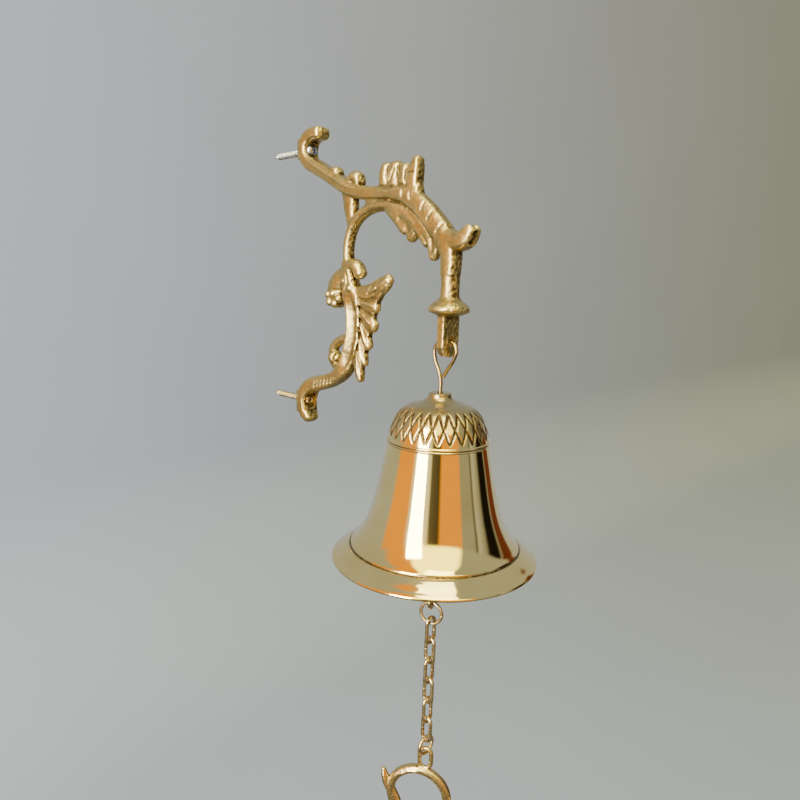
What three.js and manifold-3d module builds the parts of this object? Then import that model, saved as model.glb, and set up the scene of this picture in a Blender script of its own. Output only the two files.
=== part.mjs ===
// Wall-hung temple bell: a leafy cast bracket, a bell on a wire hook, a clapper, and a pull chain.
//
// Millimetres, +Z up. The wall is the plane Y = 0 and the object stands out from it along -Y.
// The bracket lies in the plane X = 0. The origin is on the flat back of the upper wall pad,
// just above its screw hole.

import * as THREE from 'three';
import { mergeVertices } from 'three/addons/utils/BufferGeometryUtils.js';
import Module from 'manifold-3d';

const wasm = await Module();
wasm.setup();

// ---------------------------------------------------------------- driving dimensions

const GAP = 0.3; // air between pieces that touch

// wall fixings
const UPPER_SCREW_Z = -5;
const LOWER_SCREW_Z = -108.6;
const PAD_WIDTH = 7.2;
const PAD_DEPTH = 3.4;
const SCREW_HOLE_R = 1.75;
const SCREW_SINK_R = 2.85;
const SCREW_SHANK_R = 1.4;
const SCREW_HEAD_R = 2.5;
// distance of each head's underside from the wall
const UPPER_SCREW_SEAT = 5;
const LOWER_SCREW_SEAT = 3.2;
const SCREW_IN_WALL = 22;

// hanging end of the bracket
const STEM_OUT = 84; // distance of the stem and the tab from the wall
const COLLAR_Z = -65;
const COLLAR_R = 7.4;
const TAB_WIDTH = 8.4;
const TAB_THICK = 3;
const TAB_BOTTOM_Z = -82;
const TAB_HOLE_Z = -76.2;
const TAB_HOLE_R = 1.6;

// bell
const BELL_OUT = 81.5; // distance of the bell's axis from the wall
const RIM_Z = -155.5;
const BELL_R = 37.2;
const BELL_H = 60.6;
const CROWN_INSIDE_H = 54.2;
const CROWN_BORE_R = 1.1;

// wire
const HOOK_WIRE_R = 0.68;
const CHAIN_WIRE_R = 0.7;

// clapper
const HOOK_EYE_R = 2.5; // centre line of the wire
const HOOK_EYE_Z = -104.9;
const SWIVEL_LINK_HEIGHT = 7.4;
const CLAPPER_EYE_WIRE_R = 0.8;
const CLAPPER_EYE_R = 2.4;
const CLAPPER_ROD_R = 1.1;
const BALL_R = 6.2;
const BALL_Z = RIM_Z + 3;
const TAIL_Z = RIM_Z - 20.4; // wire centre at the bottom of the clapper's tail eye

// chain, with heights and half widths on the centre line of the wire
const RING_WIRE_R = 0.65;
const RING_HALF_WIDTH = 4.15;
const RING_HEIGHT = 7.6;
const RING_TURN = -68; // degrees about Z, from the XZ plane
const LINK_COUNT = 6;
const LINK_HALF_WIDTH = 2;
const LINK_HEIGHT = 10;
const PULL_RING_HEIGHT = 6.9;

// pull
const PULL_TURN = -60; // degrees about Z, from the XZ plane
const PULL_EYE_WIRE_R = 1;
const PULL_EYE_HEIGHT = 8.4;
const PULL_R = 11.4;
const PULL_BAR_R = 1.7;
const PULL_SHIFT = -2.25; // the ring's centre, sideways from the eye

// ---------------------------------------------------------------- materials

const castBrass = { color: 0xb08d4f, roughness: 0.38, metalness: 1 };
const polishedBrass = { color: 0xd8b878, roughness: 0.08, metalness: 1 };
const wireBrass = { color: 0xb88f4c, roughness: 0.3, metalness: 1 };
const steel = { color: 0x8c9aa6, roughness: 0.3, metalness: 1 };

// ---------------------------------------------------------------- solids

// A closed geometry as a manifold-3d solid, moved by an optional matrix.
function solid(geometry, matrix) {
  const bare = geometry.index ? geometry.toNonIndexed() : geometry.clone();
  if (matrix) bare.applyMatrix4(matrix);
  bare.deleteAttribute('normal');
  bare.deleteAttribute('uv');
  const merged = mergeVertices(bare, 1e-4);
  return new wasm.Manifold(new wasm.Mesh({
    numProp: 3,
    vertProperties: new Float32Array(merged.attributes.position.array),
    triVerts: new Uint32Array(merged.index.array),
  }));
}

function union(solids) {
  return solids.reduce((sum, next) => sum.add(next));
}

function geometryOf(body) {
  const { vertProperties, triVerts } = body.getMesh();
  const geometry = new THREE.BufferGeometry();
  geometry.setAttribute('position', new THREE.BufferAttribute(vertProperties, 3));
  geometry.setIndex(new THREE.BufferAttribute(triVerts, 1));
  geometry.computeVertexNormals();
  return geometry;
}

function piece(name, body, finish) {
  const geometry = body.isBufferGeometry ? body : geometryOf(body);
  const mesh = new THREE.Mesh(geometry, new THREE.MeshStandardMaterial(finish));
  mesh.name = name;
  return mesh;
}

const at = (x, y, z) => new THREE.Matrix4().makeTranslation(x, y, z);

// A cylinder along Y, from one distance out of the wall to another.
function rodAlongY(radius, outFrom, outTo, z) {
  const rod = new THREE.CylinderGeometry(radius, radius, outTo - outFrom, 16);
  return solid(rod, at(0, -(outFrom + outTo) / 2, z));
}

// A solid of revolution about the vertical line at a distance out of the wall.
function turned(profile, out, segments) {
  const geometry = new THREE.LatheGeometry(profile.map(([r, z]) => new THREE.Vector2(r, z)), segments);
  return solid(geometry, at(0, -out, 0).multiply(new THREE.Matrix4().makeRotationX(Math.PI / 2)));
}

// The loop surface between equal rings of points, closed over its two end rings.
function skin(rings) {
  const sides = rings[0].length;
  const positions = rings.flat().flatMap((p) => [p.x, p.y, p.z]);
  const faces = [];
  for (let i = 0; i + 1 < rings.length; i++) {
    for (let j = 0; j < sides; j++) {
      const a = i * sides + j;
      const b = i * sides + ((j + 1) % sides);
      faces.push(a, b, b + sides, a, b + sides, a + sides);
    }
  }
  const last = (rings.length - 1) * sides;
  for (let j = 1; j + 1 < sides; j++) {
    faces.push(0, j + 1, j, last, last + j, last + j + 1);
  }
  const geometry = new THREE.BufferGeometry();
  geometry.setAttribute('position', new THREE.Float32BufferAttribute(positions, 3));
  geometry.setIndex(faces);
  return geometry;
}

// A cast limb in the bracket's plane. Each station is [out, z, half width, half thickness];
// the section is a rectangle with wide chamfers.
function limb(stations, steps) {
  const sides = 8;
  const points = stations.map(([out, z]) => new THREE.Vector3(0, -out, z));
  const line = new THREE.CatmullRomCurve3(points, false, 'centripetal');
  const sizes = stations.map(([, , half, thick]) => new THREE.Vector3(half, thick, 0));
  const size = new THREE.CatmullRomCurve3(sizes, false, 'catmullrom', 0.3);
  const flat = 1 / Math.cos(Math.PI / sides);
  const rings = [];
  for (let i = 0; i <= steps; i++) {
    const t = i / steps;
    const centre = line.getPoint(t);
    const tangent = line.getTangent(t);
    const across = new THREE.Vector3(0, -tangent.z, tangent.y);
    const { x: half, y: thick } = size.getPoint(t);
    const ring = [];
    for (let j = 0; j < sides; j++) {
      const angle = ((j + 0.5) / sides) * 2 * Math.PI;
      const point = centre.clone().addScaledVector(across, half * flat * Math.cos(angle));
      point.x += thick * flat * Math.sin(angle);
      ring.push(point);
    }
    rings.push(ring);
  }
  return solid(skin(rings));
}

// A flat cast leaf: an outline of [out, z] corners, centred on the bracket's plane.
function leaf(outline, thickness) {
  const shape = new THREE.Shape(outline.map(([out, z]) => new THREE.Vector2(out, z)));
  const plate = new THREE.ExtrudeGeometry(shape, { depth: thickness, bevelEnabled: false });
  const place = new THREE.Matrix4().makeBasis(
    new THREE.Vector3(0, -1, 0),
    new THREE.Vector3(0, 0, 1),
    new THREE.Vector3(-1, 0, 0),
  );
  return solid(plate, at(thickness / 2, 0, 0).multiply(place));
}

function knob(out, z, radius) {
  return solid(new THREE.SphereGeometry(radius, 10, 6), at(0, -out, z));
}

// A wire bent along a list of [out, z] points in the bracket's plane.
function wire(points, radius, steps) {
  const line = new THREE.CatmullRomCurve3(points.map(([out, z]) => new THREE.Vector3(0, -out, z)));
  const section = new THREE.Shape().absarc(0, 0, radius, 0, 2 * Math.PI);
  return new THREE.ExtrudeGeometry(section, {
    steps,
    curveSegments: 3,
    extrudePath: line,
    bevelEnabled: false,
  });
}

// A closed wire ring: two half turns joined by straight bars. Its plane is vertical, turned
// from the XZ plane by degrees about Z, and its highest point is the wire's centre at z = 0.
function wireRing(halfWidth, height, radius, turn, segments = 18) {
  const ring = new THREE.TorusGeometry(halfWidth, radius, 6, segments);
  ring.rotateZ(Math.PI / segments);
  const position = ring.attributes.position;
  const stretch = height / 2 - halfWidth;
  for (let i = 0; i < position.count; i++) {
    position.setY(i, position.getY(i) + Math.sign(position.getY(i)) * stretch);
  }
  const upright = new THREE.Matrix4().makeRotationX(Math.PI / 2);
  return solid(ring, at(0, 0, -height / 2).multiply(upright)).rotate([0, 0, turn]);
}

// ---------------------------------------------------------------- bracket

// Scroll stem: the upper wall pad's curl, then the stem that runs out under the buds.
function upperScroll() {
  return union([
    limb([
      [8.6, 1.2, 2.2, 3.2], [4.9, 0.6, 2.8, 3.4], [3.1, -2.6, 2.8, 3.6], [2.9, -6, 2.8, 3.6],
      [4.4, -9.5, 2.9, 3.5], [8.8, -12.7, 3, 3.3], [15.5, -15.8, 3, 3.2], [22.5, -19.3, 3, 3.1],
      [30, -22.3, 3, 3], [38, -24.1, 2.7, 2.8], [47, -24.8, 2.7, 2.6],
    ], 22),
    limb([[30.5, -24.5, 3.6, 2.4], [31, -29, 3.2, 2.3], [31.6, -33, 2.3, 2.2], [32.6, -37, 2, 2.2]], 6),
    knob(21.4, -16.2, 3.3),
    knob(32.6, -19.6, 4),
  ]);
}

// The round hoop under the arm, with two leaf tips hanging from its outer end.
function hoop() {
  return union([
    limb([
      [30, -52, 2.2, 2.4], [30.1, -45, 2.2, 2.4], [32.3, -37.2, 2.2, 2.4], [39.3, -31.4, 2.2, 2.4],
      [50, -29.3, 2.2, 2.4], [60, -31.6, 2.2, 2.4], [68, -37.2, 2.2, 2.2], [73, -43.5, 2, 2],
    ], 16),
    limb([[57, -31, 3, 2.2], [60.5, -35, 3.4, 2.2], [63.8, -39.2, 2.6, 2], [65.2, -42.6, 1.2, 1.4]], 5),
    limb([[74.5, -38, 3.4, 2.4], [76, -42.5, 3.4, 2.2], [76.2, -46.5, 2.8, 2], [75.5, -50, 1.2, 1.4]], 5),
  ]);
}

// The broad arm that falls from the leaf cluster to the hanging stem, with its flicked-up tip.
function arm() {
  return union([
    limb([
      [45, -24.8, 2.6, 2.6], [54, -24.9, 3, 2.8], [61, -26.1, 3.2, 3], [67, -29.2, 3.8, 3],
      [72.5, -33.5, 4, 3], [77.5, -38, 4.2, 3], [81.6, -42.4, 4, 3.2], [STEM_OUT, -47.5, 3.4, 3.3],
      [STEM_OUT, -54, 3.1, 3.3],
    ], 14),
    limb([[83, -42, 3.4, 2.8], [88, -42.9, 2.9, 2.6], [91.2, -41.5, 2.3, 2.4], [93.4, -39.2, 0.9, 1.6]], 6),
  ]);
}

// Three lobes and a tall spike standing on the arm.
function leafCluster() {
  const lobes = [
    [[50, -24, 3.2, 1.9], [49.7, -19, 2.9, 1.9], [50.2, -16, 1.8, 1.4], [50.6, -14.9, 0.8, 1]],
    [[55.2, -24, 3.2, 2.1], [55.5, -19, 2.8, 2.1], [55.9, -16.4, 1.8, 1.5], [56, -15.3, 0.8, 1]],
    [[60.6, -25, 3.2, 2.1], [60.9, -20, 2.8, 2.1], [61, -17.4, 1.8, 1.5], [61, -16.2, 0.8, 1]],
    [[66, -27, 3.4, 1.8], [66, -21, 2.6, 1.8], [66.4, -17, 1.9, 1.6], [67.2, -14.2, 0.9, 1.1]],
  ];
  return union(lobes.map((stations) => limb(stations, 5)));
}

// The middle knot, the lower scroll stem and the lower wall pad's curl.
function lowerScroll() {
  return union([
    limb([
      [30, -50, 2.6, 2.6], [31, -55.5, 3.4, 2.8], [32.6, -61.5, 4, 2.8], [34, -67.5, 3.6, 2.8],
      [34.4, -73.5, 3.2, 2.8], [33.8, -79.5, 3.2, 2.9], [32.2, -85.5, 3.3, 2.9], [29.6, -91.2, 3.2, 3],
      [25, -95.6, 2.8, 3.1], [18.8, -98.4, 2.7, 3.2], [12.5, -99.8, 2.9, 3.3], [7.3, -101.6, 3, 3.4],
      [4, -105.2, 2.9, 3.6], [3, -109.5, 2.8, 3.6], [4, -113.8, 2.7, 3.4], [6.6, -116.6, 2, 3.2],
    ], 28),
    knob(34.8, -53.2, 4.5),
    limb([[30, -53.5, 3, 2.4], [25, -57, 3.6, 2.6], [21.8, -61.2, 4.2, 2.6], [22, -65.4, 2.6, 2.2]], 6),
    limb([
      [31, -78, 2.4, 1.8], [26, -81, 2.2, 1.8], [23, -85.5, 2.4, 1.9], [24.6, -91, 2.2, 1.8],
      [29, -92, 2, 1.8],
    ], 8),
    knob(22.6, -88, 3.6),
  ]);
}

// The ribbed leaf that fans out from the knot: one long tip above and scallops down its edge.
function fanLeaf() {
  return leaf([
    [33, -56], [36.6, -58.6], [41, -58.8], [46, -57], [50.5, -54.6], [53.4, -53.4], [55, -54.2],
    [54.6, -57.6], [52.8, -61.2], [51, -63.8], [50.6, -66.2], [48.7, -70.2], [49.2, -72.8],
    [47.2, -77.6], [47.1, -81.4], [44.6, -86.8], [43.8, -90.6], [41.4, -95.4], [38.6, -92.6],
    [33, -90], [31, -75],
  ], 3.4);
}

// The turned end of the casting: stem, collar and the flat tab that the hook hangs in.
function hangingEnd() {
  const top = -52;
  const stemAndCollar = turned([
    [0, top], [3.3, top], [3.3, COLLAR_Z + 4.4], [4.6, COLLAR_Z + 2.8], [COLLAR_R - 1, COLLAR_Z + 0.8],
    [COLLAR_R, COLLAR_Z - 0.4], [COLLAR_R - 0.6, COLLAR_Z - 1.8], [4.4, COLLAR_Z - 2.8], [0, COLLAR_Z - 2.8],
  ].reverse(), STEM_OUT, 16);
  const tabTop = COLLAR_Z - 2;
  const side = TAB_WIDTH / 2;
  const shape = new THREE.Shape([
    [-side, tabTop], [-side, TAB_BOTTOM_Z + 2.6], [-side + 1.9, TAB_BOTTOM_Z], [side - 1.9, TAB_BOTTOM_Z],
    [side, TAB_BOTTOM_Z + 2.6], [side, tabTop],
  ].map(([x, z]) => new THREE.Vector2(x, z)));
  const plate = new THREE.ExtrudeGeometry(shape, { depth: TAB_THICK, bevelEnabled: false });
  const upright = new THREE.Matrix4().makeRotationX(Math.PI / 2);
  const tab = solid(plate, at(0, -STEM_OUT + TAB_THICK / 2, 0).multiply(upright));
  const half = TAB_THICK / 2 + 1;
  return stemAndCollar.add(tab).subtract(rodAlongY(TAB_HOLE_R, STEM_OUT - half, STEM_OUT + half, TAB_HOLE_Z));
}

function wallPad(bottomZ, topZ) {
  return solid(
    new THREE.BoxGeometry(PAD_WIDTH, PAD_DEPTH, topZ - bottomZ),
    at(0, -PAD_DEPTH / 2, (bottomZ + topZ) / 2),
  );
}

// Clearance for a screw's shank and head through a pad.
function screwHole(z, seat) {
  const sink = rodAlongY(SCREW_SINK_R, seat - GAP, 14, z);
  return rodAlongY(SCREW_HOLE_R, -1, 8, z).add(sink);
}

function bracketCasting() {
  const behindWall = solid(new THREE.BoxGeometry(40, 20, 200), at(0, 10, -60));
  return union([
    upperScroll(), hoop(), arm(), leafCluster(), lowerScroll(), fanLeaf(), hangingEnd(),
    wallPad(-11, 3.2), wallPad(-118.6, -103),
  ])
    .subtract(behindWall)
    .subtract(screwHole(UPPER_SCREW_Z, UPPER_SCREW_SEAT))
    .subtract(screwHole(LOWER_SCREW_Z, LOWER_SCREW_SEAT));
}

// A round-headed wood screw with a cross recess.
function wallScrew(z, seat) {
  const profile = [
    [0, -SCREW_IN_WALL], [SCREW_SHANK_R, -SCREW_IN_WALL + 4], [SCREW_SHANK_R, seat],
    [SCREW_HEAD_R, seat], [SCREW_HEAD_R, seat + 0.7], [SCREW_HEAD_R * 0.72, seat + 1.8], [0, seat + 2.3],
  ];
  const screw = new THREE.LatheGeometry(profile.map(([r, y]) => new THREE.Vector2(r, y)), 12);
  const body = solid(screw, at(0, 0, z).multiply(new THREE.Matrix4().makeRotationX(Math.PI)));
  const slot = (width, height) => solid(
    new THREE.BoxGeometry(width, 3, height),
    at(0, -(seat + 0.9 + 1.5), z),
  );
  return body.subtract(slot(2.6, 0.6)).subtract(slot(0.6, 2.6));
}

// ---------------------------------------------------------------- bell

// Outer wall from the lip to the neck, as [radius, height above the rim].
const BELL_OUTER = [
  [BELL_R, 0.9], [35.8, 2], [32.2, 4.6], [31.3, 4.9], [30.6, 5.8], [27.3, 9.4], [24.7, 14],
  [22.8, 19.5], [21.4, 26], [20.1, 33], [18.9, 40], [18.3, 43.4], [18.5, 44.1], [17.9, 44.8],
  [16.9, 49.5], [15, 53.2], [11.7, 56], [7.5, 57.6], [5, 58.9], [4, BELL_H],
];

function bellShell() {
  // Inner wall, as [radius, height above the rim].
  const inner = [
    [35.4, 0], [31.4, 2.2], [28, 5.4], [25.3, 8.6], [22.7, 13.2], [20.8, 19], [19.4, 25.6], [18.1, 32.6],
    [16.9, 39.6], [15.4, 46.6], [13, 51], [9.2, 53.6], [4, CROWN_INSIDE_H],
  ];
  const outline = [
    [CROWN_BORE_R, BELL_H], [CROWN_BORE_R, CROWN_INSIDE_H], ...inner.reverse(), [BELL_R - 0.6, 0],
    ...BELL_OUTER, [CROWN_BORE_R, BELL_H],
  ];
  return turned(outline.map(([r, z]) => [r, RIM_Z + z]), BELL_OUT, 32);
}

// ---------------------------------------------------------------- hook and clapper

// One length of wire: open tip, loop through the tab, shank through the crown, closed eye inside.
function bellHook() {
  const crest = TAB_HOLE_Z - 0.4;
  const loop = [
    [83.1, -88.8], [84.6, -86.5], [87.2, -82.6], [88.1, -79.4], [86.9, -77.2], [85, crest],
    [STEM_OUT - 0.6, crest], [82.2, crest], [79.6, -77.5], [78.1, -80], [78.6, -83.6], [80.4, -87.2],
    [BELL_OUT, -90.6], [BELL_OUT, -94], [BELL_OUT, -98], [BELL_OUT, -101.6],
  ];
  const eye = [];
  for (let degrees = 75; degrees >= -235; degrees -= 31) {
    const angle = THREE.MathUtils.degToRad(degrees);
    eye.push([BELL_OUT + HOOK_EYE_R * Math.cos(angle), HOOK_EYE_Z + HOOK_EYE_R * Math.sin(angle)]);
  }
  return wire([...loop, ...eye], HOOK_WIRE_R, 64);
}

// Height of the hooked wire above the wire that it hangs on.
const step = (lowerR, upperR) => lowerR + upperR + GAP;

const SWIVEL_TOP_Z = HOOK_EYE_Z - HOOK_EYE_R + step(HOOK_WIRE_R, CHAIN_WIRE_R);
const SWIVEL_BOTTOM_Z = SWIVEL_TOP_Z - SWIVEL_LINK_HEIGHT;

// Rod with an eye at each end: the upper one in the bracket's plane, the lower one square to the ring.
function clapperRod() {
  const eye = 2 * CLAPPER_EYE_R;
  const topZ = SWIVEL_BOTTOM_Z + step(CHAIN_WIRE_R, CLAPPER_EYE_WIRE_R);
  const upper = wireRing(CLAPPER_EYE_R, eye, CLAPPER_EYE_WIRE_R, 90, 16).translate([0, -BELL_OUT, topZ]);
  const lower = wireRing(CLAPPER_EYE_R, eye, CLAPPER_EYE_WIRE_R, RING_TURN + 90, 16)
    .translate([0, -BELL_OUT, TAIL_Z + eye]);
  const rodTop = topZ - eye;
  const rodBottom = TAIL_Z + eye;
  const rod = turned([
    [0, rodBottom], [CLAPPER_ROD_R, rodBottom], [CLAPPER_ROD_R, rodTop], [0, rodTop],
  ], BELL_OUT, 12);
  return union([rod, upper, lower]);
}

// Brass ball, bored for the rod.
function clapperBall() {
  const bore = CLAPPER_ROD_R + GAP;
  const start = Math.asin(bore / BALL_R);
  const profile = [];
  for (let i = 0; i <= 8; i++) {
    const angle = Math.PI - start - (i / 8) * (Math.PI - 2 * start);
    profile.push([BALL_R * Math.sin(angle), BALL_Z + BALL_R * Math.cos(angle)]);
  }
  return turned([...profile, profile[0]], BELL_OUT, 16);
}

// ---------------------------------------------------------------- chain and pull

// Rings and links from the clapper's tail down, each hung on the wire above it.
function hangingChain() {
  const chain = [];
  let barZ = TAIL_Z;
  let barR = CLAPPER_EYE_WIRE_R;
  const hang = (name, halfWidth, height, radius, turn) => {
    const topZ = barZ + step(barR, radius);
    const link = wireRing(halfWidth, height, radius, turn).translate([0, -BELL_OUT, topZ]);
    chain.push(piece(name, link, wireBrass));
    barZ = topZ - height;
    barR = radius;
  };
  hang('clapper_ring', RING_HALF_WIDTH, RING_HEIGHT, RING_WIRE_R, RING_TURN);
  for (let i = 1; i <= LINK_COUNT; i++) {
    hang(`chain_link_${i}`, LINK_HALF_WIDTH, LINK_HEIGHT, CHAIN_WIRE_R, i % 2 ? 0 : 90);
  }
  hang('pull_ring', PULL_RING_HEIGHT / 2, PULL_RING_HEIGHT, CHAIN_WIRE_R, 0);
  chain.push(piece('pull', pull(barZ + step(barR, PULL_EYE_WIRE_R)), castBrass));
  return chain;
}

// Cast pull: a scroll ring under a tall eye, with a leaf tip on one side and a bud on the other.
function pull(topZ) {
  const ringTop = topZ - PULL_EYE_HEIGHT - PULL_BAR_R + 0.4;
  const centreZ = ringTop - PULL_R;
  const eye = wireRing(2.3, PULL_EYE_HEIGHT, PULL_EYE_WIRE_R, 0, 16).translate([0, 0, topZ]);
  const ring = wireRing(PULL_R, 2 * PULL_R, PULL_BAR_R, 0, 24).translate([PULL_SHIFT, 0, ringTop]);
  // limb() draws in the plane X = 0 with distance out along -Y; a quarter turn lays that along +X.
  const sideways = (stations, steps) => limb(stations, steps).rotate([0, 0, 90]);
  const leftEdge = PULL_SHIFT - PULL_R;
  const leafTip = sideways([
    [leftEdge + 3, centreZ - 5, 1.6, 1.4], [leftEdge, centreZ, 2, 1.5],
    [leftEdge - 2.4, centreZ + 5, 1.8, 1.3], [leftEdge - 3.4, centreZ + 9, 0.8, 0.8],
  ], 6);
  const rightEdge = PULL_SHIFT + PULL_R;
  const bud = sideways([
    [rightEdge - 3.4, centreZ - 7, 2, 1.6], [rightEdge + 0.4, centreZ - 6.4, 3.1, 2.1],
    [rightEdge + 4.2, centreZ - 3.6, 3, 2.1], [rightEdge + 6.2, centreZ + 0.4, 1.3, 1.1],
  ], 6);
  return union([eye, ring, leafTip, bud]).rotate([0, 0, PULL_TURN]).translate([0, -BELL_OUT, 0]);
}

// ---------------------------------------------------------------- assembly

const swivelLink = wireRing(2.3, SWIVEL_LINK_HEIGHT, CHAIN_WIRE_R, 0).translate([0, -BELL_OUT, SWIVEL_TOP_Z]);

const group = new THREE.Group();
group.add(piece('bracket', bracketCasting(), castBrass));
group.add(piece('upper_screw', wallScrew(UPPER_SCREW_Z, UPPER_SCREW_SEAT), steel));
group.add(piece('lower_screw', wallScrew(LOWER_SCREW_Z, LOWER_SCREW_SEAT), steel));
group.add(piece('bell_hook', bellHook(), wireBrass));
group.add(piece('bell_shell', bellShell(), polishedBrass));
group.add(piece('clapper_link', swivelLink, wireBrass));
group.add(piece('clapper_rod', clapperRod(), wireBrass));
group.add(piece('clapper_ball', clapperBall(), castBrass));
group.add(...hangingChain());

export default group;
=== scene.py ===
"""Looks of a wall-hung temple bell: a leafy cast bracket, a turned bell, a clapper and a pull chain.

Shapes are written in millimetres and scaled to metres when they become objects. The wall is the
plane y = 0, the object stands out from it along -y, and the bracket lies in the plane x = 0.
A place in the bracket's plane is given as (out, z), where out is the distance from the wall.
"""

import math

import bmesh
import bpy
import numpy as np
from mathutils import Matrix, Vector, noise


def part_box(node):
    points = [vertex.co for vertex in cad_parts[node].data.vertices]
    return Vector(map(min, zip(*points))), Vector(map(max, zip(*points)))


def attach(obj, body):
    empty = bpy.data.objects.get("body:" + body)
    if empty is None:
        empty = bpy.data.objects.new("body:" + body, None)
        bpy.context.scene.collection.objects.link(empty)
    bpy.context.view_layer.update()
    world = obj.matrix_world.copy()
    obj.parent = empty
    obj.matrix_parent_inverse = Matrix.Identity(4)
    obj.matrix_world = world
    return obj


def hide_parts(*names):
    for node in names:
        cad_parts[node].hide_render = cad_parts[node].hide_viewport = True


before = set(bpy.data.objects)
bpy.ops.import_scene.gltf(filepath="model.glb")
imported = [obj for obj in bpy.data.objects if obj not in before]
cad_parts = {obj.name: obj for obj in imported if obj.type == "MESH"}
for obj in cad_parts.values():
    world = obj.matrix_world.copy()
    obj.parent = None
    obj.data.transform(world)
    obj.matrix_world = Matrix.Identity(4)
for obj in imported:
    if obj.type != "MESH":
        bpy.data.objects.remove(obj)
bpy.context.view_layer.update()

MM = 0.001

# ---------------- places taken from the frame


def box_mm(node):
    """Lowest and highest corner of a CAD node, in millimetres."""
    low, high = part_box(node)
    return np.array(low) / MM, np.array(high) / MM


SHELL_LOW, SHELL_HIGH = box_mm("bell_shell")
RIM_Z = SHELL_LOW[2]
BELL_OUT = -(SHELL_LOW[1] + SHELL_HIGH[1]) / 2
SCREWS = ("upper_screw", "lower_screw")
SCREW_HEAD_RISE = 2.2
SCREW_Z = {name: (box_mm(name)[0][2] + box_mm(name)[1][2]) / 2 for name in SCREWS}
SCREW_SEAT = {name: -box_mm(name)[0][1] - SCREW_HEAD_RISE for name in SCREWS}
STEM_OUT = 84.0
COLLAR_Z = -65.0
TAB_HOLE_Z = -76.2

# ---------------- curves and skins


def spline(points, per_span):
    """Points on a smooth curve through the given rows, the same number in each span.

    Slopes are weighted by the distance between rows, measured on the first two columns."""
    rows = np.array(points, float)
    span = np.maximum(np.linalg.norm(np.diff(rows[:, :2], axis=0), axis=1), 1e-6)[:, None]
    pace = np.diff(rows, axis=0) / span
    middle = (pace[:-1] * span[1:] + pace[1:] * span[:-1]) / (span[:-1] + span[1:])
    slope = np.vstack([pace[:1], middle, pace[-1:]])
    t = np.linspace(0, 1, per_span, endpoint=False)[None, :, None]
    a, b = rows[:-1, None], rows[1:, None]
    rise, fall = (slope[:-1] * span)[:, None], (slope[1:] * span)[:, None]
    curve = ((2 * t**3 - 3 * t**2 + 1) * a + (t**3 - 2 * t**2 + t) * rise
             + (3 * t**2 - 2 * t**3) * b + (t**3 - t**2) * fall)
    return np.vstack([curve.reshape(-1, rows.shape[1]), rows[-1:]])


def section(half, thick, power, sides):
    """One ring of a rounded section as (across, through) offsets; power 2 is an ellipse."""
    angle = np.linspace(0, 2 * np.pi, sides, endpoint=False)
    c, s = np.cos(angle), np.sin(angle)
    across = half * np.sign(c) * np.abs(c) ** (2 / power)
    through = thick * np.sign(s) * np.abs(s) ** (2 / power)
    return across, through


def swept(path, half, thick, power=2.0, sides=20, closed=False, bulge=0.7):
    """Rings of a section carried along a plane path, with rounded ends unless the path is closed.

    path is (n, 2); a ring point is (a, b, c), where a and b are in the plane and c is off it."""
    path = np.array(path, float)
    half = np.broadcast_to(half, len(path)).astype(float)
    thick = np.broadcast_to(thick, len(path)).astype(float)
    if closed:
        tangent = np.roll(path, -1, 0) - np.roll(path, 1, 0)
    else:
        tangent = np.gradient(path, axis=0)
    tangent /= np.linalg.norm(tangent, axis=1)[:, None]
    stations = list(zip(path, tangent, half, thick))
    if not closed and bulge:
        def cap(station, way):
            p, t, h, k = station
            shrink = [(np.sin(e), max(np.cos(e), 0.02)) for e in np.radians([90, 60, 30])]
            return [(p + way * t * h * bulge * rise, t, h * share, k * share) for rise, share in shrink]

        stations = cap(stations[0], -1) + stations + cap(stations[-1], 1)[::-1]
    rings = []
    for p, t, h, k in stations:
        across, through = section(h, k, power, sides)
        normal = np.array([-t[1], t[0]])
        rings.append(np.column_stack([p[0] + normal[0] * across, p[1] + normal[1] * across, through]))
    return np.array(rings)


def bracket_plane(rings):
    """From (out, z, off) to (x, y, z) in the bracket's plane."""
    return np.stack([rings[..., 2], -rings[..., 0], rings[..., 1]], -1)


def turned_axes(degrees):
    """Columns: the across, up and off axes of a vertical plane turned from the plane of x and z."""
    c, s = math.cos(math.radians(degrees)), math.sin(math.radians(degrees))
    return np.array([[c, 0, -s], [s, 0, c], [0, 1, 0]])


def turned_plane(degrees, top_z):
    """Places (across, up, off) points in such a plane through the bell's axis, down from a height."""
    return lambda rings: rings @ turned_axes(degrees).T + [0, -BELL_OUT, top_z]


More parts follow.
